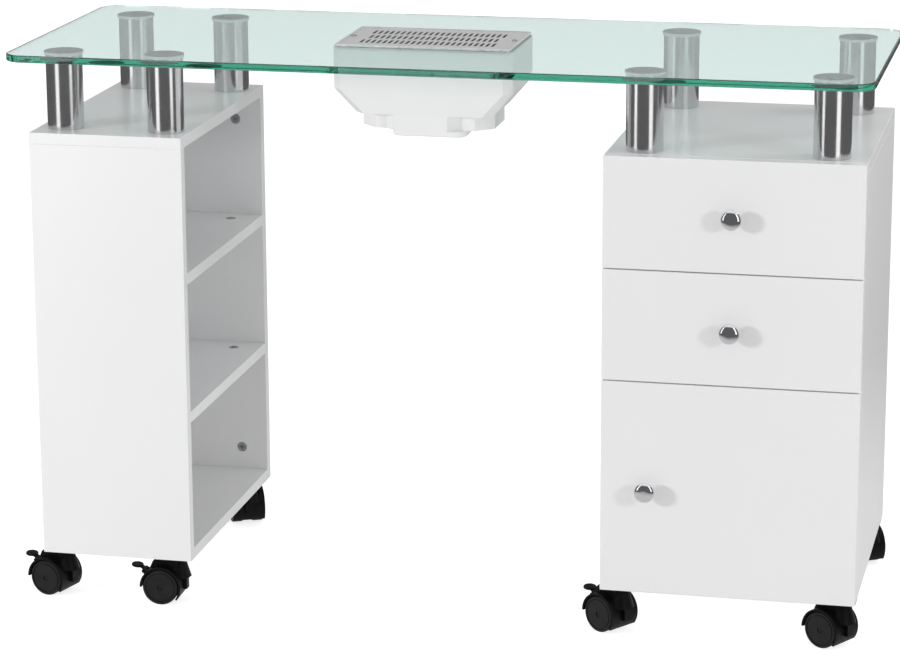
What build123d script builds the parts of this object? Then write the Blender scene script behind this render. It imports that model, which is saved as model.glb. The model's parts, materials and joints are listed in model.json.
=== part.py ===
"""Glass-topped manicure table on two wheeled pedestals.

A tempered glass top stands on eight steel posts, four on each pedestal.  The left pedestal is an
open shelf unit, the right one a cabinet with two drawers and a door.  A slotted grille in the glass
draws dust into a fan hopper bonded under it.  Eight twin-wheel castors carry the pedestals.

Millimetres.  +X runs along the glass, +Y to the back, +Z up.  The origin is on the floor, at the
centre of the whole table's outline, which is also the centre of the pedestals' depth.
"""
import os
from math import atan2, degrees

from build123d import *

os.makedirs("parts", exist_ok=True)

# ---- Driving dimensions -----------------------------------------------------------------------

# Glass top
GLASS_LENGTH = 1200
GLASS_DEPTH = 460
GLASS_THICK = 10
GLASS_CENTRE_Y = 5
GLASS_CORNER_R = 30
GLASS_EDGE_R = 2

# Pedestals
DEPTH = 420
BOARD = 16
CASTER_H = 70
PEDESTAL_TOP = 682
EDGE_BAND_R = 0.8
SHELF_UNIT_X = (-568, -348)
CABINET_X = (240, 592)
SHELF_TOPS_BELOW_TOP = (195, 395)

# Posts
POST_R = 25.5
POST_WALL = 2
POST_WEB = 8
POST_H = 100
POST_DISC_R = 27.5
POST_DISC_H = 4
POST_Y = 163
SHELF_UNIT_POST_X = (-529, -383)
CABINET_POST_X = (289, 541)
BOLT_R = 4
BOLT_HEAD_H = 5.5

# Cabinet fronts
FRONT_GAP = 1.5
FRONT_STANDOFF = 1.5
DOOR_H = 300
FRONT_EDGE_R = 1.6
KNOB_R = 14.5
KNOB_REACH = 25
DOOR_KNOB_INSET = 64
SCREW_R = 2

# Drawers
DRAWER_BOARD = 12
DRAWER_BASE = 6
DRAWER_BOX_H = 95
DRAWER_BOX_DEPTH = 350
DRAWER_LIFT = 14
RUNNER_SPACE = 12.5
RUNNER_H = 35
RUNNER_SHEET = 1.2
RUNNER_LENGTH = 340

# Cup hinges of the door
CUP_R = 17.5
CUP_DEPTH = 11.5
CUP_INSET = 22.5
HINGE_FROM_DOOR_END = 85

# Cam locks of the flat-pack joints
CAM_R = 7.5
CAM_DEPTH = 12
CAM_PROUD = 0.4
CAM_BORE_PLAY = 0.1
CAM_FROM_JOINT = 34
CAM_FROM_SIDE = 40

# Dust extractor
VENT_CENTRE = (-42, 17)
VENT_CUTOUT = (240, 138)
CUTOUT_CORNER_R = 6
GRILLE_SIZE = (250, 158)
GRILLE_CORNER_R = 5
GRILLE_PLATE = 1.5
GRILLE_RIM = 4
GRILLE_RIM_H = 2.6
SLOT_ROWS = 3
SLOT_COLUMNS = 24
SLOT_ROW_PITCH = 39
SLOT_PITCH = 8.2
SLOT_LENGTH = 29
SLOT_WIDTH = 4
GRILLE_SCREW_X = 116
TRAY_SIZE = (218, 128)
TRAY_DEPTH = 12
TRAY_WALL = 1.2
TRAY_LIP = 3
HOPPER_SIZE = (256, 165)
HOPPER_MOUTH = (226, 130)
HOPPER_FLOOR = (196, 147)
HOPPER_TIER = (190, 116)
HOPPER_TIER_CORNER = 24
HOPPER_BULGE_X = (-101, 12)
HOPPER_BULGE_CHAMFER = 19
HOPPER_WALL = 3
HOPPER_SKIRT_Z = 731
HOPPER_FLOOR_Z = 696
HOPPER_BASE_Z = 674
FAN_CENTRE = (-42, 10)
FAN_MOUTH = 66
OUTLET_CENTRE = (-35, -8)
OUTLET_PLATE = (106, 92)
OUTLET_PLATE_H = 8
INLET_Z = 756
FAN_SIZE = 80
FAN_H = 25
FAN_BORE_R = 37.8
FAN_HUB_R = 16
FAN_HOLE_SPREAD = 35.75
FAN_BLADES = 7

# Castors
WHEEL_R = 26
WHEEL_W = 17
WHEEL_GAP = 14
TRAIL = 22
AXLE_R = 4
KING_PIN_R = 4
RUNNING_PLAY = 0.05
FENDER_IN_R = 27.2
FENDER_OUT_R = 30
HOOD_HALF_W = 25
HOOD_TOP = 66
DOME_R = (18, 9.5)
DOME_BASE_Z = 38
PLATE_SIZE = 36
PLATE_H = 2
CASTER_XS = (-544, -376, 266, 574)
CASTER_INSET_Y = 30
LEVER_PIVOT = (-50, 44)
LEVER_PIN_R = 1.5

# ---- Derived places ---------------------------------------------------------------------------

FRONT = -DEPTH / 2
BACK = DEPTH / 2
CARCASS_FRONT = FRONT + BOARD + FRONT_STANDOFF
UNDER_TOP = PEDESTAL_TOP - BOARD
BASE_BOARD_TOP = CASTER_H + BOARD
GLASS_UNDER = PEDESTAL_TOP + POST_H
FAN_BASE_Z = HOPPER_BASE_Z + HOPPER_WALL
GLASS_TOP = GLASS_UNDER + GLASS_THICK
DRAWER_FRONT_H = (PEDESTAL_TOP - CASTER_H - DOOR_H - 2 * FRONT_GAP) / 2
LOWER_FRONT_Z = CASTER_H + DOOR_H + FRONT_GAP
UPPER_FRONT_Z = LOWER_FRONT_Z + DRAWER_FRONT_H + FRONT_GAP
CABINET_MID_X = sum(CABINET_X) / 2
DRAWER_BOX_X = (CABINET_X[0] + BOARD + RUNNER_SPACE, CABINET_X[1] - BOARD - RUNNER_SPACE)
HINGE_ZS = (CASTER_H + HINGE_FROM_DOOR_END, CASTER_H + DOOR_H - HINGE_FROM_DOOR_END)

LOW = (Align.MIN, Align.MIN, Align.MIN)
STAND = (Align.CENTER, Align.CENTER, Align.MIN)


# ---- Shared shapes ----------------------------------------------------------------------------

def slab(x, y, z):
    """A block between the two values given for each axis."""
    block = Box(x[1] - x[0], y[1] - y[0], z[1] - z[0], align=LOW)
    return Pos(x[0], y[0], z[0]) * block


def board(x, y, z, edge=EDGE_BAND_R):
    """A panel whose edges are rounded over by its edge banding."""
    panel = slab(x, y, z)
    return fillet(panel.edges(), edge)


def pillar(x, y, z, radius):
    """An upright cylinder between two heights."""
    return Pos(x, y, z[0]) * Cylinder(radius, z[1] - z[0], align=STAND)


def rod(start, direction, length, radius):
    """A cylinder from a start point along a direction."""
    plane = Plane(origin=start, z_dir=direction)
    return plane.location * Cylinder(radius, length, align=STAND)


def cut(piece, tools):
    """The piece with every tool cut away."""
    return piece - list(tools)


def moved(pieces, place):
    """The pieces at a place."""
    return [place * piece for piece in pieces]


def save(node, *pieces):
    """Write the solids of one sub-part to its own file."""
    solids = [solid for piece in pieces for solid in piece.solids()]
    export_step(Compound(children=solids), f"parts/{node}.step")


# ---- Cam locks --------------------------------------------------------------------------------

def cam_bore(place, normal):
    """The blind hole that a cam lock sits in."""
    inward = tuple(-n for n in normal)
    return rod(place, inward, CAM_DEPTH, CAM_R + CAM_BORE_PLAY)


def cam_lock(place, normal):
    """A cam lock, a little proud of its panel, with a cross recess."""
    lock = Cylinder(CAM_R, CAM_DEPTH + CAM_PROUD, align=(Align.CENTER, Align.CENTER, Align.MAX))
    lock = Pos(0, 0, CAM_PROUD) * lock
    recess = Box(8, 1.6, 5) + Box(1.6, 8, 5)
    lock = chamfer(lock.edges().group_by(Axis.Z)[-1], 0.6) - recess
    return Plane(origin=place, z_dir=normal).location * lock


def shelf_unit_cams():
    """Place and normal of each cam lock in the shelf unit, by the panel that holds it."""
    cams = {"front": [], "rear": [], "upper": [], "lower": []}
    for x in (SHELF_UNIT_X[1] - CAM_FROM_SIDE, SHELF_UNIT_X[0] + CAM_FROM_SIDE):
        for z in (BASE_BOARD_TOP + CAM_FROM_JOINT, UNDER_TOP - CAM_FROM_JOINT):
            cams["front"].append(((x, FRONT + BOARD, z), (0, 1, 0)))
            cams["rear"].append(((x, BACK - BOARD, z), (0, -1, 0)))
        for name, drop in zip(("upper", "lower"), SHELF_TOPS_BELOW_TOP):
            for y in (FRONT + BOARD + CAM_FROM_JOINT, BACK - BOARD - CAM_FROM_JOINT):
                cams[name].append(((x, y, PEDESTAL_TOP - drop), (0, 0, 1)))
    return cams


def cabinet_cams():
    """Place and normal of each cam lock in the cabinet's two sides."""
    cams = {"left": [], "right": []}
    for y in (CARCASS_FRONT + CAM_FROM_SIDE, BACK - BOARD - CAM_FROM_SIDE):
        for z in (BASE_BOARD_TOP + CAM_FROM_JOINT, UNDER_TOP - CAM_FROM_JOINT):
            cams["left"].append(((CABINET_X[0] + BOARD, y, z), (1, 0, 0)))
            cams["right"].append(((CABINET_X[1] - BOARD, y, z), (-1, 0, 0)))
    return cams


def make_cam_locks():
    """Every cam lock, as one group of fasteners."""
    groups = list(shelf_unit_cams().values()) + list(cabinet_cams().values())
    save("cam_locks", *[cam_lock(*cam) for group in groups for cam in group])


def bored(panel, cams):
    """A panel with the blind holes for its cam locks."""
    return cut(panel, [cam_bore(*cam) for cam in cams])


# ---- Pedestal panels --------------------------------------------------------------------------

def top_panel(x, y, post_xs):
    """A pedestal's top, drilled for the bolts of its four posts."""
    panel = board(x, y, (UNDER_TOP, PEDESTAL_TOP))
    holes = [pillar(px, py, (UNDER_TOP, PEDESTAL_TOP), BOLT_R + 0.25)
             for px in post_xs for py in (-POST_Y, POST_Y)]
    return cut(panel, holes)


def make_shelf_unit():
    """The open pedestal: every panel stands or lies between the full-size front and rear."""
    x = SHELF_UNIT_X
    inner_x = (x[0] + BOARD, x[1])
    inner_y = (FRONT + BOARD, BACK - BOARD)
    cams = shelf_unit_cams()
    save("shelf_unit_top", top_panel(x, (FRONT, BACK), SHELF_UNIT_POST_X))
    front = board(x, (FRONT, FRONT + BOARD), (CASTER_H, UNDER_TOP))
    save("shelf_unit_front", bored(front, cams["front"]))
    rear = board(x, (BACK - BOARD, BACK), (CASTER_H, UNDER_TOP))
    save("shelf_unit_rear", bored(rear, cams["rear"]))
    save("shelf_unit_side", board((x[0], x[0] + BOARD), inner_y, (CASTER_H, UNDER_TOP)))
    save("shelf_unit_bottom", board(inner_x, inner_y, (CASTER_H, BASE_BOARD_TOP)))
    for name, drop in zip(("upper", "lower"), SHELF_TOPS_BELOW_TOP):
        top = PEDESTAL_TOP - drop
        shelf = board(inner_x, inner_y, (top - BOARD, top))
        save(f"shelf_{name}", bored(shelf, cams[name]))


def make_cabinet():
    """The closed pedestal's carcass, which stops short of the fronts that overlay it."""
    x = CABINET_X
    inner_x = (x[0] + BOARD, x[1] - BOARD)
    inner_y = (CARCASS_FRONT, BACK - BOARD)
    cams = cabinet_cams()
    middle = LOWER_FRONT_Z - FRONT_GAP / 2
    save("cabinet_top", top_panel(x, (CARCASS_FRONT, BACK), CABINET_POST_X))
    left = board((x[0], x[0] + BOARD), inner_y, (CASTER_H, UNDER_TOP))
    save("cabinet_side_left", bored(left, cams["left"]))
    right = board((x[1] - BOARD, x[1]), inner_y, (CASTER_H, UNDER_TOP))
    save("cabinet_side_right", bored(right, cams["right"]))
    save("cabinet_back", board(x, (BACK - BOARD, BACK), (CASTER_H, UNDER_TOP)))
    save("cabinet_bottom", board(inner_x, inner_y, (CASTER_H, BASE_BOARD_TOP)))
    divider_z = (middle - BOARD / 2, middle + BOARD / 2)
    save("cabinet_divider", board(inner_x, inner_y, divider_z))


# ---- Drawers and door -------------------------------------------------------------------------

def front_panel(z, knob_x, knob_z, screw_depth):
    """A front of the cabinet with its knob's screw hole and softened edges."""
    panel = board(CABINET_X, (FRONT, FRONT + BOARD), z, FRONT_EDGE_R)
    hole = rod((knob_x, FRONT, knob_z), (0, 1, 0), screw_depth, SCREW_R + 0.2)
    return panel - hole


def knob(x, z, grip):
    """A turned mushroom knob and the screw that holds it through a front of that thickness."""
    outline = [(0, 0), (7, 0), (7, 1.2), (5, 3.5), (4.6, 10)]
    cap = [(9, 13), (KNOB_R - 1, 15.5), (KNOB_R, 18), (KNOB_R - 1.8, 22)]
    body = Polyline(*outline)
    flare = Spline(outline[-1], *cap, (KNOB_R - 6.5, KNOB_REACH - 0.7), (0, KNOB_REACH),
                   tangents=[(0.1, 1), (-1, 0)])
    axis = Line((0, KNOB_REACH), (0, 0))
    profile = make_face(Plane.XZ * (body + flare + axis))
    turned = revolve(profile, Axis.Z)
    thread = 10
    turned = turned - pillar(0, 0, (0, thread), SCREW_R)
    shank = pillar(0, 0, (-grip, thread - 0.5), SCREW_R)
    head = pillar(0, 0, (-grip - 2.4, -grip), 4)
    screw = shank + chamfer(head.edges().group_by(Axis.Z)[0], 0.8)
    place = Plane(origin=(x, FRONT, z), z_dir=(0, -1, 0)).location
    return moved([turned, screw], place)


def drawer_box(z_low, knob_z):
    """Four walls and a base that sits between them, with a hole for the knob's screw."""
    x0, x1 = DRAWER_BOX_X
    y0, y1 = FRONT + BOARD, FRONT + BOARD + DRAWER_BOX_DEPTH
    t = DRAWER_BOARD
    z = (z_low, z_low + DRAWER_BOX_H)
    left = slab((x0, x0 + t), (y0, y1), z)
    right = slab((x1 - t, x1), (y0, y1), z)
    front = slab((x0 + t, x1 - t), (y0, y0 + t), z)
    back = slab((x0 + t, x1 - t), (y1 - t, y1), z)
    base = slab((x0 + t, x1 - t), (y0 + t, y1 - t), (z_low, z_low + DRAWER_BASE))
    front = front - rod((CABINET_MID_X, y0, knob_z), (0, 1, 0), t, SCREW_R + 0.2)
    return [left, right, front, back, base]


def rail(x_wall, z_mid, side):
    """A channel screwed to the cabinet's side, open towards the drawer."""
    y = (CARCASS_FRONT + 4, CARCASS_FRONT + 4 + RUNNER_LENGTH)
    x_lip = x_wall + side * 10
    x_out = sorted((x_wall, x_lip))
    x_in = sorted((x_wall + side * RUNNER_SHEET, x_lip))
    half = RUNNER_H / 2
    outer = slab(x_out, y, (z_mid - half, z_mid + half))
    inner_z = (z_mid - half + RUNNER_SHEET, z_mid + half - RUNNER_SHEET)
    return outer - slab(x_in, y, inner_z)


def runner(x_drawer, z_mid, side):
    """The drawer's own channel, which runs inside the cabinet's rail."""
    y = (CARCASS_FRONT + 6, CARCASS_FRONT + 6 + RUNNER_LENGTH - 4)
    x_lip = x_drawer - side * 10
    x_out = sorted((x_drawer, x_lip))
    x_in = sorted((x_drawer - side * RUNNER_SHEET, x_lip))
    half = RUNNER_H / 2 - RUNNER_SHEET - 0.4
    outer = slab(x_out, y, (z_mid - half, z_mid + half))
    inner_z = (z_mid - half + RUNNER_SHEET, z_mid + half - RUNNER_SHEET)
    return outer - slab(x_in, y, inner_z)


def make_drawers():
    """Two drawers on side-mounted runners."""
    rails = []
    for name, front_z in (("upper", UPPER_FRONT_Z), ("lower", LOWER_FRONT_Z)):
        z_low = front_z + DRAWER_LIFT
        knob_z = front_z + DRAWER_FRONT_H / 2
        runner_z = z_low + DRAWER_BOX_H / 2 - 8
        z = (front_z, front_z + DRAWER_FRONT_H)
        save(f"drawer_{name}_front", front_panel(z, CABINET_MID_X, knob_z, BOARD))
        save(f"drawer_{name}_box", *drawer_box(z_low, knob_z))
        save(f"drawer_{name}_knob", *knob(CABINET_MID_X, knob_z, BOARD + DRAWER_BOARD))
        walls = ((CABINET_X[0] + BOARD, DRAWER_BOX_X[0], 1), (CABINET_X[1] - BOARD, DRAWER_BOX_X[1], -1))
        rails += [rail(wall, runner_z, side) for wall, _, side in walls]
        save(f"drawer_{name}_runners", *[runner(x, runner_z, side) for _, x, side in walls])
    save("drawer_rails", *rails)


def hinge_cup(z):
    """A cup hinge's bowl, let into the door, with its two-eared flange."""
    x = CABINET_X[1] - CUP_INSET
    y = FRONT + BOARD
    bowl = rod((x, y, z), (0, -1, 0), CUP_DEPTH, CUP_R)
    bowl = bowl - rod((x, y, z), (0, -1, 0), CUP_DEPTH - 1, CUP_R - 1)
    flange = slab((x - CUP_R, x + CUP_R - 6), (y, y + 0.9), (z - 30, z + 30))
    mouth = rod((x, y, z), (0, 1, 0), 2, CUP_R - 1)
    return bowl + (flange - mouth)


def hinge_arm(z):
    """A cup hinge's mounting plate and arm on the cabinet's side."""
    wall = CABINET_X[1] - BOARD
    y = CARCASS_FRONT
    plate = slab((wall - 2, wall), (y + 20, y + 56), (z - 22, z + 22))
    arm = slab((wall - 14, wall - 2), (y, y + 72), (z - 6, z + 6))
    hollow = slab((wall - 12.5, wall - 2), (y, y + 72), (z - 4.8, z + 4.8))
    screws = [rod((wall - 2, y + 38, z + dz), (-1, 0, 0), 2, 3.2) for dz in (-16, 16)]
    return plate + (arm - hollow) + screws


def make_door():
    """The door, hung on two cup hinges at its right edge."""
    z = (CASTER_H, CASTER_H + DOOR_H)
    knob_x = CABINET_X[0] + DOOR_KNOB_INSET
    knob_z = sum(z) / 2
    panel = front_panel(z, knob_x, knob_z, BOARD)
    seats = [rod((CABINET_X[1] - CUP_INSET, FRONT + BOARD, hz), (0, -1, 0), CUP_DEPTH, CUP_R + 0.1)
             for hz in HINGE_ZS]
    save("door_panel", cut(panel, seats))
    save("door_knob", *knob(knob_x, knob_z, BOARD))
    save("door_hinge_cups", *[hinge_cup(hz) for hz in HINGE_ZS])
    save("door_hinge_arms", *[hinge_arm(hz) for hz in HINGE_ZS])


# ---- Posts ------------------------------------------------------------------------------------

def post(x, y):
    """A tube with a threaded web at its foot."""
    tube_top = GLASS_UNDER - POST_DISC_H
    tube = pillar(x, y, (PEDESTAL_TOP, tube_top), POST_R)
    tube = tube - pillar(x, y, (PEDESTAL_TOP + POST_WEB, tube_top), POST_R - POST_WALL)
    tube = chamfer(tube.edges().filter_by(GeomType.CIRCLE).group_by(Axis.Z)[0], 0.5)
    return tube - pillar(x, y, (PEDESTAL_TOP, PEDESTAL_TOP + POST_WEB), BOLT_R + 0.05)


def post_disc(x, y):
    """The disc bonded to the glass, with a spigot inside the tube."""
    disc = pillar(x, y, (GLASS_UNDER - POST_DISC_H, GLASS_UNDER), POST_DISC_R)
    disc = fillet(disc.edges().group_by(Axis.Z)[0], 1)
    spigot_z = (GLASS_UNDER - POST_DISC_H - 12, GLASS_UNDER - POST_DISC_H)
    return disc + pillar(x, y, spigot_z, POST_R - POST_WALL - 0.1)


def post_bolt(x, y):
    """A hexagon bolt up through the pedestal's top into the post."""
    shank = pillar(x, y, (UNDER_TOP, PEDESTAL_TOP + POST_WEB), BOLT_R)
    head = extrude(RegularPolygon(7.5, 6), BOLT_HEAD_H)
    return shank + Pos(x, y, UNDER_TOP - BOLT_HEAD_H) * head


def make_posts():
    """Eight posts, their glass discs and their bolts."""
    discs = []
    bolts = []
    for name, xs in (("left", SHELF_UNIT_POST_X), ("right", CABINET_POST_X)):
        spots = [(x, y) for x in xs for y in (-POST_Y, POST_Y)]
        save(f"posts_{name}", *[post(*spot) for spot in spots])
        discs += [post_disc(*spot) for spot in spots]
        bolts += [post_bolt(*spot) for spot in spots]
    save("post_discs", *discs)
    save("post_bolts", *bolts)


# ---- Glass and dust extractor -----------------------------------------------------------------

def rounded_plate(centre, size, corner, z):
    """A flat plate with rounded corners."""
    outline = RectangleRounded(size[0], size[1], corner)
    return Pos(centre[0], centre[1], z[0]) * extrude(outline, z[1] - z[0])


def make_glass():
    """The top, with its cut-out for the grille and ground edges."""
    size = (GLASS_LENGTH, GLASS_DEPTH)
    glass = rounded_plate((0, GLASS_CENTRE_Y), size, GLASS_CORNER_R, (GLASS_UNDER, GLASS_TOP))
    faces = glass.faces().sort_by(Axis.Z)
    glass = fillet(faces[0].edges() + faces[-1].edges(), GLASS_EDGE_R)
    opening = rounded_plate(VENT_CENTRE, VENT_CUTOUT, CUTOUT_CORNER_R, (GLASS_UNDER, GLASS_TOP))
    save("glass_top", glass - opening)


def make_grille():
    """A pressed plate with a raised rim, three rows of slots and a tray that drops in the glass."""
    z = GLASS_TOP
    plate = rounded_plate(VENT_CENTRE, GRILLE_SIZE, GRILLE_CORNER_R, (z, z + GRILLE_RIM_H))
    plate = fillet(plate.faces().sort_by(Axis.Z)[-1].edges(), 1.2)
    field = tuple(side - 2 * GRILLE_RIM for side in GRILLE_SIZE)
    plate = plate - rounded_plate(VENT_CENTRE, field, 3, (z + GRILLE_PLATE, z + GRILLE_RIM_H))
    slot = extrude(Rot(0, 0, 90) * SlotOverall(SLOT_LENGTH, SLOT_WIDTH), GRILLE_PLATE)
    slots = []
    for row in range(SLOT_ROWS):
        y = VENT_CENTRE[1] + (row - (SLOT_ROWS - 1) / 2) * SLOT_ROW_PITCH
        stagger = SLOT_PITCH / 2 if row % 2 else 0
        for column in range(SLOT_COLUMNS - row % 2):
            x = VENT_CENTRE[0] + (column - (SLOT_COLUMNS - 1) / 2) * SLOT_PITCH + stagger
            slots.append(Pos(x, y, z) * slot)
    holes = [pillar(VENT_CENTRE[0] + dx, VENT_CENTRE[1], (z, z + GRILLE_PLATE), 2.1)
             for dx in (-GRILLE_SCREW_X, GRILLE_SCREW_X)]
    plate = cut(plate, slots + holes)
    inner = tuple(side - 2 * TRAY_WALL for side in TRAY_SIZE)
    mouth = tuple(side - 2 * TRAY_LIP for side in TRAY_SIZE)
    low = z - TRAY_DEPTH
    tray = rounded_plate(VENT_CENTRE, TRAY_SIZE, 5, (low, z))
    tray = tray - rounded_plate(VENT_CENTRE, inner, 4, (low + TRAY_WALL, z))
    tray = tray - rounded_plate(VENT_CENTRE, mouth, 3, (low, low + TRAY_WALL))
    save("vent_grille", plate + tray)
    pad_size = tuple(side - 1 for side in inner)
    save("vent_filter", rounded_plate(VENT_CENTRE, pad_size, 3.5, (low + TRAY_WALL, z - 2)))


def make_grille_screws():
    """Pan-head screws at the grille's ends, into lugs on the hopper."""
    screws = []
    for dx in (-GRILLE_SCREW_X, GRILLE_SCREW_X):
        x = VENT_CENTRE[0] + dx
        top = GLASS_TOP + GRILLE_PLATE
        head = pillar(x, VENT_CENTRE[1], (top, top + 2), 3.8)
        head = fillet(head.edges().group_by(Axis.Z)[-1], 1)
        cross = Pos(x, VENT_CENTRE[1], top + 2) * (Box(4, 0.9, 2) + Box(0.9, 4, 2))
        shank = pillar(x, VENT_CENTRE[1], (top - 9, top), 1.9)
        screws.append(head - cross + shank)
    save("vent_grille_screws", *screws)


def octagon(size, corner):
    """A rectangle with its corners cut off at 45 degrees."""
    hx, hy = size[0] / 2, size[1] / 2
    points = [(hx, -hy + corner), (hx, hy - corner), (hx - corner, hy), (-hx + corner, hy),
              (-hx, hy - corner), (-hx, -hy + corner), (-hx + corner, -hy), (hx - corner, -hy)]
    return Polygon(*points, align=None)


def hopper_body(shrink, top, floor, base):
    """The hopper's stack of sections, smaller all round by a wall for its inside."""
    def section(size, corner):
        return octagon((size[0] - 2 * shrink, size[1] - 2 * shrink), corner)
    skirt = section(HOPPER_SIZE, 12)
    tier = section(HOPPER_TIER, HOPPER_TIER_CORNER)
    body = Pos(0, 0, HOPPER_SKIRT_Z) * extrude(skirt, top - HOPPER_SKIRT_Z)
    body += loft([Pos(0, 0, floor) * section(HOPPER_FLOOR, 14), Pos(0, 0, HOPPER_SKIRT_Z) * skirt])
    body += Pos(0, 0, base) * extrude(tier, floor - base)
    return Pos(*VENT_CENTRE, 0) * body + hopper_bulge(shrink, (base, floor))


def hopper_bulge(shrink, z):
    """The part of the fan housing that stands out in front of the tier, with its corners cut off."""
    x_low, x_high = HOPPER_BULGE_X[0] + shrink, HOPPER_BULGE_X[1] - shrink
    y = VENT_CENTRE[1] - HOPPER_FLOOR[1] / 2 + shrink
    step = HOPPER_BULGE_CHAMFER - shrink * 0.4
    outline = Polygon((x_low + step, y), (x_high - step, y), (x_high, y + step), (x_high, y + 60),
                      (x_low, y + 60), (x_low, y + step), align=None)
    return Pos(0, 0, z[0]) * extrude(outline, z[1] - z[0])


def make_hopper():
    """The moulded hopper: a flange bonded to the glass, two screw lugs and an inlet hole."""
    inside_floor = HOPPER_FLOOR_Z + HOPPER_WALL
    shell = hopper_body(0, GLASS_UNDER, HOPPER_FLOOR_Z, HOPPER_BASE_Z)
    shell = shell - hopper_body(HOPPER_WALL, GLASS_UNDER - HOPPER_WALL, inside_floor, FAN_BASE_Z)
    mouth = rounded_plate(VENT_CENTRE, HOPPER_MOUTH, CUTOUT_CORNER_R, (GLASS_UNDER - 4, GLASS_UNDER))
    outlet = rounded_plate(FAN_CENTRE, (FAN_MOUTH, FAN_MOUTH), 10, (HOPPER_BASE_Z, FAN_BASE_Z))
    lug_z = (GLASS_UNDER - HOPPER_WALL, GLASS_TOP - 0.5)
    for x in (VENT_CENTRE[0] - GRILLE_SCREW_X, VENT_CENTRE[0] + GRILLE_SCREW_X):
        shell += pillar(x, VENT_CENTRE[1], lug_z, 3.6) - pillar(x, VENT_CENTRE[1], lug_z, 2)
    rear = VENT_CENTRE[1] + HOPPER_SIZE[1] / 2
    inlet = slab((VENT_CENTRE[0] - 10.7, VENT_CENTRE[0] + 10.7), (rear - 6, rear), (INLET_Z - 6.2, INLET_Z + 6.2))
    save("vent_hopper", cut(shell, [mouth, outlet, inlet]))


def make_outlet():
    """A slotted plate that closes the fan housing from below."""
    z = (HOPPER_BASE_Z - OUTLET_PLATE_H, HOPPER_BASE_Z)
    plate = rounded_plate(OUTLET_CENTRE, OUTLET_PLATE, 14, z)
    plate = fillet(plate.faces().sort_by(Axis.Z)[0].edges(), 2.5)
    slot = rounded_plate((0, 0), (56, 5), 2.4, z)
    slots = [Pos(FAN_CENTRE[0], 4 + step * 10, 0) * slot for step in range(-3, 4)]
    save("vent_outlet_plate", cut(plate, slots))


def make_fan():
    """An axial fan standing on the hopper's floor: square frame, motor spider and impeller."""
    x, y = FAN_CENTRE
    base = FAN_BASE_Z
    z = (base, base + FAN_H)
    frame = rounded_plate(FAN_CENTRE, (FAN_SIZE, FAN_SIZE), 5, z) - pillar(x, y, z, FAN_BORE_R)
    seat = pillar(x, y, (base, base + 3), FAN_HUB_R)
    arm_mid = (FAN_HUB_R + FAN_BORE_R) / 2
    arm = Pos(arm_mid, 0, 1.5) * Box(FAN_BORE_R - FAN_HUB_R + 3, 3.5, 3)
    arms = [Pos(x, y, base) * Rot(0, 0, 45 + 90 * k) * arm for k in range(4)]
    pin = pillar(x, y, (base + 3, base + FAN_H - 6), 1.5)
    spread = FAN_HOLE_SPREAD
    holes = [pillar(x + sx * spread, y + sy * spread, z, 2.2) for sx in (-1, 1) for sy in (-1, 1)]
    save("fan_frame", cut(frame + seat + arms + pin, holes))
    hub_z = (base + 4.5, base + FAN_H - 1.5)
    hub = pillar(x, y, hub_z, FAN_HUB_R)
    hub = fillet(hub.edges().group_by(Axis.Z)[-1], 2)
    blade = Box(FAN_BORE_R - FAN_HUB_R + 1, 20, 1.4, align=(Align.MIN, Align.CENTER, Align.CENTER))
    for k in range(FAN_BLADES):
        turn = Rot(0, 0, k * 360 / FAN_BLADES) * Pos(FAN_HUB_R - 3, 0, FAN_H / 2 + 1) * Rot(38, 0, 0)
        hub += Pos(x, y, base) * turn * blade
    sweep_room = pillar(x, y, (base, base + FAN_H), FAN_BORE_R - 0.8)
    hub = hub & sweep_room
    save("fan_impeller", hub - pillar(x, y, (hub_z[0], base + FAN_H - 5), 1.5 + RUNNING_PLAY))


def make_power_inlet():
    """A two-pin appliance inlet in the hopper's rear wall."""
    x = VENT_CENTRE[0]
    rear = VENT_CENTRE[1] + HOPPER_SIZE[1] / 2
    z = INLET_Z
    body = slab((x - 10.5, x + 10.5), (rear - 17, rear), (z - 6, z + 6))
    flange = slab((x - 15, x + 15), (rear, rear + 2.5), (z - 9, z + 9))
    flange = fillet(flange.edges().filter_by(Axis.Y), 3)
    socket = Plane(origin=(x, rear + 2.5, z), z_dir=(0, -1, 0)).location
    socket = socket * extrude(SlotOverall(15.6, 7.8), 14)
    pins = [rod((x + dx, rear - 11.5, z), (0, 1, 0), 10, 1.2) for dx in (-4.3, 4.3)]
    save("vent_power_inlet", (body + flange - socket) + pins)


# ---- Castors ----------------------------------------------------------------------------------
# Drawn with the swivel axis at the origin and the wheels trailing towards -X.

AXLE = (-TRAIL, WHEEL_R)


def side_disc(radius, y, centre=AXLE):
    """A disc lying across the castor, between two y values."""
    return rod((centre[0], y[0], centre[1]), (0, 1, 0), y[1] - y[0], radius)


def caster_wheels():
    """Two wheels with a raised face ring, on one axle."""
    solids = []
    for side in (-1, 1):
        inner, outer = side * WHEEL_GAP / 2, side * (WHEEL_GAP / 2 + WHEEL_W)
        y = sorted((inner, outer))
        wheel = fillet(side_disc(WHEEL_R, y).edges(), 2.4)
        face = sorted((outer, outer - side * 1.2))
        groove = side_disc(WHEEL_R - 4.2, face) - side_disc(WHEEL_R - 5.6, face)
        wheel = wheel - groove - side_disc(AXLE_R, y)
        solids.append(wheel)
    reach = WHEEL_GAP / 2 + WHEEL_W - 1
    solids.append(chamfer(side_disc(AXLE_R, (-reach, reach)).edges(), 0.6))
    return solids


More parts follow.
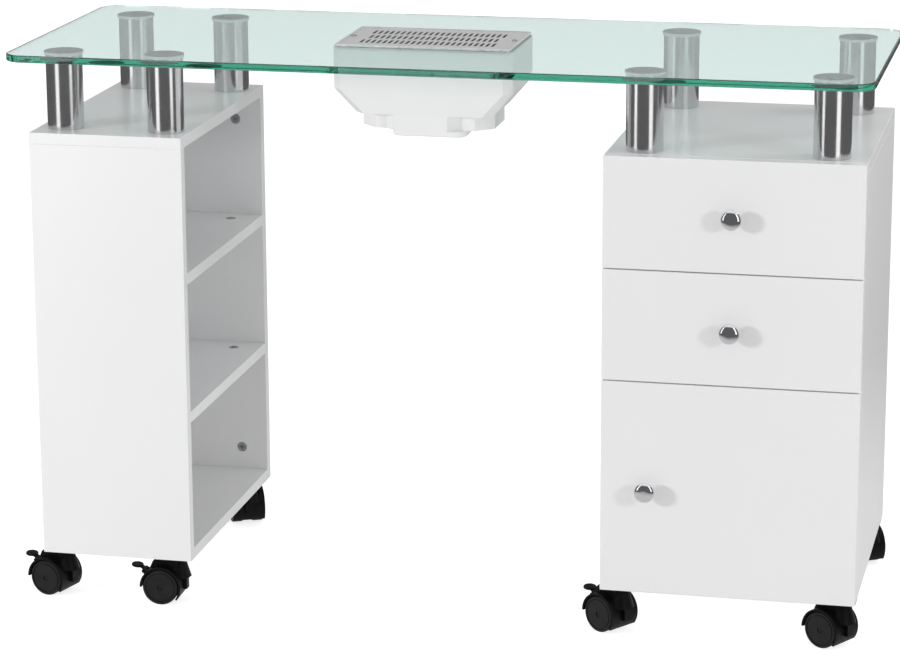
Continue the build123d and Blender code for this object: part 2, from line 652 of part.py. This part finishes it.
def caster_hood():
    """The hood: a web between the wheels, a fender over them and a dome round the king pin."""
    x, z = AXLE
    wide = (-HOOD_HALF_W, HOOD_HALF_W)
    web_y = (-WHEEL_GAP / 2 + 0.6, WHEEL_GAP / 2 - 0.6)
    ring = side_disc(FENDER_OUT_R, wide)
    keep = slab((x - 40, x + 40), wide, (z, z + 40))
    skirt = Pos(x, 0, z) * Rot(0, 35, 0) * slab((0, 40), wide, (-1, 40))
    fender = ring & (keep + skirt)
    dome = Pos(0, 0, DOME_BASE_Z) * Cone(*DOME_R, HOOD_TOP - DOME_BASE_Z, align=STAND)
    dome = fillet(dome.edges().group_by(Axis.Z)[-1], 2)
    saddle = Plane.XZ * Polygon((x - 20, z + 20), (x - 13, z + 36), (x - 8, HOOD_TOP), (2, HOOD_TOP),
                                (2, z + 14), (x, z + 14), align=None)
    saddle = extrude(saddle, 13, both=True)
    saddle = fillet(saddle.edges().filter_by(Axis.Y).group_by(Axis.X)[0:2], 2)
    hood = fender + dome + saddle
    for y in ((-HOOD_HALF_W - 1, web_y[0]), (web_y[1], HOOD_HALF_W + 1)):
        hood = hood - side_disc(FENDER_IN_R, y)
    hood = hood + (side_disc(WHEEL_R - 6, web_y) + slab((x + 3, 13), web_y, (20, 45)))
    hood = hood - side_disc(AXLE_R + RUNNING_PLAY, wide)
    return hood - pillar(0, 0, (42, HOOD_TOP), KING_PIN_R + RUNNING_PLAY)


def lever_ears():
    """Two ears on the hood's fender that hold a brake lever's pin."""
    px, pz = LEVER_PIVOT
    inward = degrees(atan2(pz - AXLE[1], AXLE[0] - px))
    ears = []
    for y in ((-8, -4.4), (4.4, 8)):
        arm = Pos(px, 0, pz) * Rot(0, inward, 0) * slab((0, 5), y, (-3.2, 3.2))
        ears.append(side_disc(3.2, y, LEVER_PIVOT) + arm - side_disc(LEVER_PIN_R + RUNNING_PLAY, y, LEVER_PIVOT))
    return ears


def brake_lever():
    """A foot tab on a neck, with its barrel and pin."""
    px, pz = LEVER_PIVOT
    barrel = side_disc(3, (-4.2, 4.2), LEVER_PIVOT) + side_disc(LEVER_PIN_R, (-8, 8), LEVER_PIVOT)
    neck = Pos(px, 0, pz) * Rot(0, 33, 0) * slab((-10, 0), (-4.2, 4.2), (-0.2, 2.8))
    tab = fillet(extrude(Ellipse(8.5, 10), 1.5, both=True).edges(), 0.9)
    ribs = [Pos(dx, 0, 1.5) * Box(1.2, 12, 1.2) for dx in (-4, 0, 4)]
    tab_place = Pos(px - 11, 0, pz + 7) * Rot(0, 8, 0)
    return barrel + neck + tab_place * (tab + ribs)


def caster_plate():
    """The top plate with its raceway boss, king pin and four screws."""
    z = CASTER_H
    plate = rounded_plate((0, 0), (PLATE_SIZE, PLATE_SIZE), 6, (z - PLATE_H, z))
    boss = pillar(0, 0, (HOOD_TOP + 0.5, z - PLATE_H), 10)
    pin = pillar(0, 0, (42, HOOD_TOP + 0.5), KING_PIN_R)
    spread = PLATE_SIZE / 2 - 6
    heads = [pillar(sx * spread, sy * spread, (z - PLATE_H - 1.8, z - PLATE_H), 3.4)
             for sx in (-1, 1) for sy in (-1, 1)]
    return plate + boss + pin + heads


def caster_spots():
    """Swivel place, rest turn and brake of each castor, numbered from the left front."""
    front_turns = (15, -2, 34, 30)
    rear_turns = (20, 64, 48, 60)
    spots = [(x, FRONT + CASTER_INSET_Y, turn) for x, turn in zip(CASTER_XS, front_turns)]
    spots += [(x, BACK - CASTER_INSET_Y, turn) for x, turn in zip(CASTER_XS, rear_turns)]
    return [(spot, number < 3) for number, spot in enumerate(spots)]


def make_casters():
    """Eight castors, three of them with a foot brake, turned as they came to rest."""
    plates = []
    wheels = caster_wheels()
    plain = caster_hood()
    braked = plain + lever_ears()
    for number, ((x, y, turn), has_brake) in enumerate(caster_spots(), start=1):
        place = Pos(x, y, 0) * Rot(0, 0, -turn)
        save(f"caster_{number}_hood", place * (braked if has_brake else plain))
        save(f"caster_{number}_wheels", *moved(wheels, place))
        if has_brake:
            save(f"caster_{number}_brake_lever", place * brake_lever())
        plates.append(Pos(x, y, 0) * caster_plate())
    save("caster_plates", *plates)


make_shelf_unit()
make_cabinet()
make_cam_locks()
make_drawers()
make_door()
make_posts()
make_glass()
make_grille()
make_grille_screws()
make_hopper()
make_outlet()
make_fan()
make_power_inlet()
make_casters()
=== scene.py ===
"""Looks of the glass-topped manicure table: materials, studio light and camera, in metres."""

import json
from math import cos, radians, sin

import bpy
from mathutils import Matrix, Vector

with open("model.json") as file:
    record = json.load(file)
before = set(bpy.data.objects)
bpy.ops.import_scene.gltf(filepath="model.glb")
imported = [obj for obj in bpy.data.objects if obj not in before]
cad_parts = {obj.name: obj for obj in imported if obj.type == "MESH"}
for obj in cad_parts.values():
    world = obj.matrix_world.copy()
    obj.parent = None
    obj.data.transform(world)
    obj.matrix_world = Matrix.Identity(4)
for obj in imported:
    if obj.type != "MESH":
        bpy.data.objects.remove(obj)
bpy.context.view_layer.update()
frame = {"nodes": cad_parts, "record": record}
NODES = frame["nodes"]

# ---- Camera: the photograph's viewing angle -----------------------------------------------------

# Place in metres, angles in degrees
CAMERA_PLACE = (0.9675, -4.4098, 1.5504)
CAMERA_TURN = 12.582
CAMERA_DIP = 14.540
CAMERA_ROLL = -0.251
LENS_MM = 130.01
SENSOR_MM = 36.0

# ---- Shading ------------------------------------------------------------------------------------

SMOOTH_ANGLE = radians(28)
MAX_BOUNCES = 24
TRANSMISSION_BOUNCES = 20
GLOSSY_BOUNCES = 16

# ---- Light --------------------------------------------------------------------------------------

# Levels of the backdrop behind the object, of the matt light, and of what reflections show
BACKDROP = 1.05
AMBIENT = 0.57
GLOSS_ROOM = 0.12
GLOSS_BACKDROP = 0.45
GLOSS_CEILING = 0.9
# Where, along a reflected ray's direction, the backdrop and the ceiling fade in
BACKDROP_FADE = (0.1, 0.8)
CEILING_FADE = (0.60, 0.80)
FLOOR_SEEN = 0.78
FLOOR_BOUNCE = 0.18
FLOOR_NEAR_GLOSS = 0.6
FLOOR_HALF = 30.0
# Distances from the table over which the floor in reflections fades to the room's level
FLOOR_FADE = (0.8, 1.6)
# Strips that only reflections show, and lamps that only reach matt surfaces:
# place of the centre, width, height, power; and the height that each kind is aimed at
STRIPS = (
    ((-1.20, -1.45, 1.15), 0.62, 1.9, 4.5),
    ((1.60, -1.45, 1.15), 0.75, 1.9, 5.5),
)
LAMPS = (
    ((-2.82, -2.58, 1.35), 0.60, 0.60, 56.0),
    ((2.44, -1.70, 1.16), 0.42, 0.42, 15.5),
    ((1.75, 0.30, 1.85), 0.70, 0.70, 7.0),
)
STRIP_AIM_Z = 0.9
LAMP_AIM_Z = 0.5


# ---- Material helpers ---------------------------------------------------------------------------

class Shader:
    """A Principled material and the nodes that vary it."""

    def __init__(self, name, colour, roughness, metallic=0.0, **sockets):
        self.material = bpy.data.materials.new(name)
        self.material.use_nodes = True
        self.tree = self.material.node_tree
        self.surface = self.tree.nodes["Principled BSDF"]
        self.surface.inputs["Base Color"].default_value = (*colour, 1.0)
        self.surface.inputs["Roughness"].default_value = roughness
        self.surface.inputs["Metallic"].default_value = metallic
        for socket, value in sockets.items():
            self.surface.inputs[socket.replace("_", " ")].default_value = value
        self.colour = colour
        self.place = self.tree.nodes.new("ShaderNodeTexCoord").outputs["Object"]

    def node(self, kind, **settings):
        made = self.tree.nodes.new(kind)
        for key, value in settings.items():
            setattr(made, key, value)
        return made

    def link(self, source, target):
        self.tree.links.new(source, target)

    def noise(self, scale, detail=3.0, stretch=(1.0, 1.0, 1.0)):
        """A noise in the part's own coordinates, stretched along its axes."""
        mapping = self.node("ShaderNodeMapping")
        mapping.inputs["Scale"].default_value = stretch
        self.link(self.place, mapping.inputs["Vector"])
        noise = self.node("ShaderNodeTexNoise")
        noise.inputs["Scale"].default_value = scale
        noise.inputs["Detail"].default_value = detail
        self.link(mapping.outputs["Vector"], noise.inputs["Vector"])
        return noise.outputs["Fac"]

    def ramp(self, value, low, high, span=(0.35, 0.65)):
        """A number or colour that goes from low to high with the value."""
        ramp = self.node("ShaderNodeValToRGB")
        stops = ramp.color_ramp.elements
        for stop, position, level in zip(stops, span, (low, high)):
            stop.position = position
            level = level if isinstance(level, tuple) else (level, level, level)
            stop.color = (*level, 1.0)
        self.link(value, ramp.inputs["Fac"])
        return ramp.outputs["Color"]

    def vary_colour(self, value, spread, span=(0.3, 0.7)):
        """Let the base colour go darker and lighter by a share of itself."""
        low = tuple(c * (1.0 - spread) for c in self.colour)
        high = tuple(min(1.0, c * (1.0 + spread)) for c in self.colour)
        self.link(self.ramp(value, low, high, span), self.surface.inputs["Base Color"])

    def vary_roughness(self, value, low, high, span=(0.3, 0.7)):
        """Let the roughness go from low to high."""
        self.link(self.ramp(value, low, high, span), self.surface.inputs["Roughness"])

    def bump(self, value, height, strength=1.0):
        """Raise the surface by a height in metres."""
        bump = self.node("ShaderNodeBump")
        bump.inputs["Distance"].default_value = height
        bump.inputs["Strength"].default_value = strength
        self.link(value, bump.inputs["Height"])
        self.link(bump.outputs["Normal"], self.surface.inputs["Normal"])


# ---- Materials, one for each slot ---------------------------------------------------------------

def white_board():
    """Gloss white lacquer on board, with a faint orange peel."""
    coat = {"Coat_Weight": 0.15, "Coat_Roughness": 0.12}
    shader = Shader("white_lacquer", (0.86, 0.86, 0.865), 0.32, **coat)
    shader.vary_colour(shader.noise(3.0), 0.012)
    shader.vary_roughness(shader.noise(900.0), 0.30, 0.34)
    shader.bump(shader.noise(60.0, 1.0), 0.00004, 0.3)
    return shader.material


def drawer_board():
    """White melamine-faced board of the drawer boxes, less glossy than the fronts."""
    shader = Shader("white_melamine", (0.78, 0.78, 0.77), 0.5)
    shader.vary_colour(shader.noise(25.0, 6.0), 0.03)
    shader.vary_roughness(shader.noise(40.0), 0.42, 0.58)
    shader.bump(shader.noise(900.0, 2.0), 0.00005, 0.5)
    return shader.material


def clear_glass():
    """Pale green float glass: it lets lamps through, and its depth colours it."""
    shader = Shader("float_glass", (0.86, 0.985, 0.965), 0.0, Transmission_Weight=1.0, IOR=1.52)
    smears = shader.ramp(shader.noise(7.0, 4.0), 0.0, 0.02, (0.5, 0.8))
    shader.link(smears, shader.surface.inputs["Roughness"])
    tree = shader.tree
    output = tree.nodes["Material Output"]
    path = shader.node("ShaderNodeLightPath")
    clear = shader.node("ShaderNodeBsdfTransparent")
    clear.inputs["Color"].default_value = (0.87, 0.875, 0.873, 1.0)
    soft = shader.node("ShaderNodeMath", operation="ADD", use_clamp=True)
    shader.link(path.outputs["Is Shadow Ray"], soft.inputs[0])
    shader.link(path.outputs["Is Diffuse Ray"], soft.inputs[1])
    mix = shader.node("ShaderNodeMixShader")
    shader.link(soft.outputs[0], mix.inputs["Fac"])
    shader.link(shader.surface.outputs["BSDF"], mix.inputs[1])
    shader.link(clear.outputs["BSDF"], mix.inputs[2])
    shader.link(mix.outputs["Shader"], output.inputs["Surface"])
    tint = shader.node("ShaderNodeVolumeAbsorption")
    tint.inputs["Color"].default_value = (0.31, 0.725, 0.625, 1.0)
    tint.inputs["Density"].default_value = 8.0
    shader.link(tint.outputs["Volume"], output.inputs["Volume"])
    return shader.material


def post_steel():
    """Polished stainless tube, with fine turning marks round it and faint smudges."""
    shader = Shader("polished_stainless", (0.70, 0.70, 0.71), 0.16, 1.0, Anisotropic=0.3)
    rings = shader.noise(60.0, 4.0, (1.0, 1.0, 60.0))
    shader.vary_colour(rings, 0.05)
    smudge = shader.noise(30.0, 4.0)
    shader.vary_roughness(smudge, 0.13, 0.20)
    shader.bump(rings, 0.00002, 0.4)
    return shader.material


def disc_steel():
    """Satin-ground face of the discs that are bonded to the glass."""
    shader = Shader("ground_stainless", (0.74, 0.75, 0.75), 0.42, 0.35)
    grain = shader.noise(220.0, 5.0)
    shader.vary_colour(grain, 0.10)
    shader.vary_roughness(grain, 0.34, 0.52)
    shader.bump(grain, 0.00003, 0.4)
    return shader.material


def grille_steel():
    """Satin steel plate, brushed along its length."""
    shader = Shader("satin_steel", (0.80, 0.80, 0.80), 0.40, 0.6, Anisotropic=0.4)
    grain = shader.noise(90.0, 5.0, (1.0, 30.0, 1.0))
    shader.vary_colour(grain, 0.10)
    shader.vary_roughness(grain, 0.26, 0.42)
    shader.bump(grain, 0.00003, 0.5)
    return shader.material


def screw_steel():
    """Bright steel of small fasteners."""
    shader = Shader("bright_steel", (0.62, 0.62, 0.62), 0.25, 1.0)
    shader.vary_colour(shader.noise(400.0), 0.12)
    shader.vary_roughness(shader.noise(600.0), 0.18, 0.34)
    return shader.material


def plated_steel():
    """Zinc-plated sheet, with a soft mottle."""
    shader = Shader("zinc_plated_sheet", (0.56, 0.57, 0.60), 0.36, 1.0)
    mottle = shader.noise(60.0, 5.0)
    shader.vary_colour(mottle, 0.12)
    shader.vary_roughness(mottle, 0.28, 0.46)
    shader.bump(shader.noise(500.0), 0.00003, 0.4)
    return shader.material


def zinc():
    """Die-cast zinc of the cam locks."""
    shader = Shader("die_cast_zinc", (0.42, 0.42, 0.43), 0.42, 1.0)
    grain = shader.noise(700.0, 4.0)
    shader.vary_colour(grain, 0.15)
    shader.vary_roughness(grain, 0.34, 0.55)
    shader.bump(grain, 0.00005, 0.5)
    return shader.material


def chrome():
    """Bright chrome, with faint polishing haze."""
    shader = Shader("bright_chrome", (0.80, 0.80, 0.82), 0.05, 1.0)
    haze = shader.noise(120.0, 4.0)
    shader.vary_roughness(haze, 0.03, 0.09)
    shader.vary_colour(haze, 0.02)
    return shader.material


def white_plastic():
    """Moulded white plastic with a fine spark texture."""
    shader = Shader("moulded_white_plastic", (0.90, 0.90, 0.90), 0.36)
    shader.vary_colour(shader.noise(8.0), 0.012)
    shader.vary_roughness(shader.noise(30.0), 0.30, 0.44)
    shader.bump(shader.noise(1400.0, 3.0), 0.00005, 0.5)
    return shader.material


def filter_felt():
    """Dark non-woven felt."""
    shader = Shader("filter_felt", (0.035, 0.035, 0.036), 0.95, Sheen_Weight=0.3)
    fibres = shader.noise(900.0, 8.0, (1.0, 1.6, 1.0))
    shader.vary_colour(fibres, 0.6)
    shader.bump(fibres, 0.0005, 0.9)
    return shader.material


def black_plastic():
    """Matt black moulding of the fan and the inlet."""
    shader = Shader("matt_black_plastic", (0.022, 0.022, 0.023), 0.5)
    shader.vary_colour(shader.noise(40.0), 0.2)
    shader.vary_roughness(shader.noise(80.0), 0.42, 0.6)
    shader.bump(shader.noise(1800.0), 0.00005, 0.5)
    return shader.material


def caster_hood_plastic():
    """Black nylon with a spark-eroded grain."""
    shader = Shader("black_nylon", (0.003, 0.003, 0.0032), 0.42, Specular_IOR_Level=0.16)
    shader.vary_colour(shader.noise(60.0), 0.25)
    shader.vary_roughness(shader.noise(120.0), 0.34, 0.52)
    shader.bump(shader.noise(1500.0), 0.00008, 0.6)
    return shader.material


def caster_wheel_plastic():
    """Black nylon wheel, a little lighter and worn on its tread."""
    shader = Shader("black_nylon_wheel", (0.010, 0.010, 0.0105), 0.38, Specular_IOR_Level=0.28)
    shader.vary_colour(shader.noise(90.0, 5.0), 0.3)
    shader.vary_roughness(shader.noise(70.0), 0.30, 0.5)
    shader.bump(shader.noise(1200.0), 0.00006, 0.5)
    return shader.material


def dress_nodes():
    """Give every CAD node the material of its slot in the record."""
    makers = {
        "clear_glass": clear_glass, "grille_steel": grille_steel, "screw_steel": screw_steel,
        "white_plastic": white_plastic, "filter_felt": filter_felt, "black_plastic": black_plastic,
        "white_board": white_board, "drawer_board": drawer_board, "zinc": zinc, "chrome": chrome,
        "plated_steel": plated_steel, "post_steel": post_steel,
        "caster_hood_plastic": caster_hood_plastic, "caster_wheel_plastic": caster_wheel_plastic,
    }
    made = {slot: maker() for slot, maker in makers.items()}
    for entry in frame["record"]["subparts"]:
        node = NODES[entry["node"]]
        for slot in node.material_slots:
            slot.material = made[entry["material_slot"]]
    for slot in NODES["post_discs"].material_slots:
        slot.material = disc_steel()


# ---- Stage, light and camera --------------------------------------------------------------------

def mirrored(tree):
    """1 on a ray that was reflected by a shiny surface, and 0 on one that came through glass."""
    path = tree.nodes.new("ShaderNodeLightPath")
    reflected = tree.nodes.new("ShaderNodeMath")
    reflected.operation = "SUBTRACT"
    reflected.use_clamp = True
    tree.links.new(path.outputs["Is Glossy Ray"], reflected.inputs[0])
    tree.links.new(path.outputs["Is Transmission Ray"], reflected.inputs[1])
    return reflected.outputs[0]


def build_floor():
    """A pale floor that stays dim in reflections, as a darkened studio does."""
    half = FLOOR_HALF
    corners = [(-half, -half, 0), (half, -half, 0), (half, half, 0), (-half, half, 0)]
    mesh = bpy.data.meshes.new("studio_floor")
    mesh.from_pydata(corners, [], [(0, 1, 2, 3)])
    floor = bpy.data.objects.new("studio_floor", mesh)
    bpy.context.scene.collection.objects.link(floor)
    shader = Shader("studio_floor", (0.55, 0.55, 0.55), 0.9)
    path = shader.node("ShaderNodeLightPath")
    glow = shader.node("ShaderNodeMapRange")
    glow.inputs["To Min"].default_value = FLOOR_SEEN
    glow.inputs["To Max"].default_value = FLOOR_BOUNCE
    shader.link(path.outputs["Is Diffuse Ray"], glow.inputs["Value"])
    lit = shader.node("ShaderNodeEmission")
    shader.link(glow.outputs["Result"], lit.inputs["Strength"])
    add = shader.node("ShaderNodeAddShader")
    shader.link(shader.surface.outputs["BSDF"], add.inputs[0])
    shader.link(lit.outputs["Emission"], add.inputs[1])
    away = shader.node("ShaderNodeVectorMath", operation="LENGTH")
    shader.link(shader.place, away.inputs[0])
    fade = shader.node("ShaderNodeMapRange")
    fade.inputs["From Min"].default_value = FLOOR_FADE[0]
    fade.inputs["From Max"].default_value = FLOOR_FADE[1]
    fade.inputs["To Min"].default_value = FLOOR_NEAR_GLOSS
    fade.inputs["To Max"].default_value = GLOSS_ROOM
    shader.link(away.outputs["Value"], fade.inputs["Value"])
    dim = shader.node("ShaderNodeEmission")
    shader.link(fade.outputs["Result"], dim.inputs["Strength"])
    mix = shader.node("ShaderNodeMixShader")
    shader.link(mirrored(shader.tree), mix.inputs["Fac"])
    shader.link(add.outputs["Shader"], mix.inputs[1])
    shader.link(dim.outputs["Emission"], mix.inputs[2])
    shader.link(mix.outputs["Shader"], shader.tree.nodes["Material Output"].inputs["Surface"])
    mesh.materials.append(shader.material)


def build_world():
    """White behind the object, an even ambient light, and a dim room in reflections."""
    world = bpy.data.worlds.new("studio")
    bpy.context.scene.world = world
    world.use_nodes = True
    tree = world.node_tree
    place = tree.nodes.new("ShaderNodeTexCoord")
    split = tree.nodes.new("ShaderNodeSeparateXYZ")
    tree.links.new(place.outputs["Generated"], split.inputs["Vector"])
    depth = tree.nodes.new("ShaderNodeMapRange")
    depth.inputs["From Min"].default_value = BACKDROP_FADE[0]
    depth.inputs["From Max"].default_value = BACKDROP_FADE[1]
    depth.inputs["To Min"].default_value = GLOSS_ROOM
    depth.inputs["To Max"].default_value = GLOSS_BACKDROP
    tree.links.new(split.outputs["Y"], depth.inputs["Value"])
    height = tree.nodes.new("ShaderNodeMapRange")
    height.inputs["From Min"].default_value = CEILING_FADE[0]
    height.inputs["From Max"].default_value = CEILING_FADE[1]
    height.inputs["To Max"].default_value = GLOSS_CEILING
    tree.links.new(split.outputs["Z"], height.inputs["Value"])
    level = tree.nodes.new("ShaderNodeMath")
    level.operation = "MAXIMUM"
    tree.links.new(depth.outputs["Result"], level.inputs[0])
    tree.links.new(height.outputs["Result"], level.inputs[1])
    path = tree.nodes.new("ShaderNodeLightPath")
    seen = tree.nodes["Background"]
    seen.inputs["Color"].default_value = (1.0, 1.0, 1.0, 1.0)
    seen.inputs["Strength"].default_value = BACKDROP
    ambient = tree.nodes.new("ShaderNodeBackground")
    ambient.inputs["Strength"].default_value = AMBIENT
    room = tree.nodes.new("ShaderNodeBackground")
    tree.links.new(level.outputs[0], room.inputs["Strength"])
    last = seen
    for ray, light in ((path.outputs["Is Diffuse Ray"], ambient), (mirrored(tree), room)):
        light.inputs["Color"].default_value = (1.0, 1.0, 1.0, 1.0)
        mix = tree.nodes.new("ShaderNodeMixShader")
        tree.links.new(ray, mix.inputs["Fac"])
        tree.links.new(last.outputs[0], mix.inputs[1])
        tree.links.new(light.outputs[0], mix.inputs[2])
        last = mix
    tree.links.new(last.outputs[0], tree.nodes["World Output"].inputs["Surface"])


def aim(thing, target):
    """Point an object's -Z at a place, its X level."""
    direction = Vector(target) - thing.location
    thing.rotation_euler = direction.to_track_quat("-Z", "Y").to_euler()


def build_lights():
    """The strips and the lamps, each aimed at the middle of the table."""
    for number, (place, width, height, power) in enumerate(STRIPS + LAMPS, start=1):
        is_strip = number <= len(STRIPS)
        light = bpy.data.lights.new(f"studio_light_{number}", "AREA")
        light.shape = "RECTANGLE" if width != height else "DISK"
        light.size = width
        light.size_y = height
        light.energy = power
        thing = bpy.data.objects.new(light.name, light)
        bpy.context.scene.collection.objects.link(thing)
        thing.location = place
        aim(thing, (0.0, 0.0, STRIP_AIM_Z if is_strip else LAMP_AIM_Z))
        thing.visible_camera = False
        thing.visible_diffuse = not is_strip
        thing.visible_glossy = is_strip


def build_camera():
    """The camera at the photograph's viewing angle."""
    turn, dip, roll = radians(CAMERA_TURN), radians(CAMERA_DIP), radians(CAMERA_ROLL)
    ahead = Vector((-sin(turn) * cos(dip), cos(turn) * cos(dip), -sin(dip)))
    level = Vector((cos(turn), sin(turn), 0.0))
    above = level.cross(ahead)
    right = cos(roll) * level + sin(roll) * above
    up = cos(roll) * above - sin(roll) * level
    data = bpy.data.cameras.new("camera")
    data.lens = LENS_MM
    data.sensor_width = SENSOR_MM
    camera = bpy.data.objects.new("camera", data)
    bpy.context.scene.collection.objects.link(camera)
    place = Matrix((right, up, -ahead)).transposed().to_4x4()
    place.translation = CAMERA_PLACE
    camera.matrix_world = place
    bpy.context.scene.camera = camera


def smooth_nodes():
    """Shade curved faces smooth and keep real edges sharp."""
    for node in NODES.values():
        node.data.shade_smooth()
        node.data.set_sharp_from_angle(angle=SMOOTH_ANGLE)


dress_nodes()
smooth_nodes()
build_floor()
build_world()
build_lights()
build_camera()
scene = bpy.context.scene
scene.view_settings.view_transform = "Standard"
scene.cycles.max_bounces = MAX_BOUNCES
scene.cycles.transmission_bounces = TRANSMISSION_BOUNCES
scene.cycles.glossy_bounces = GLOSSY_BOUNCES
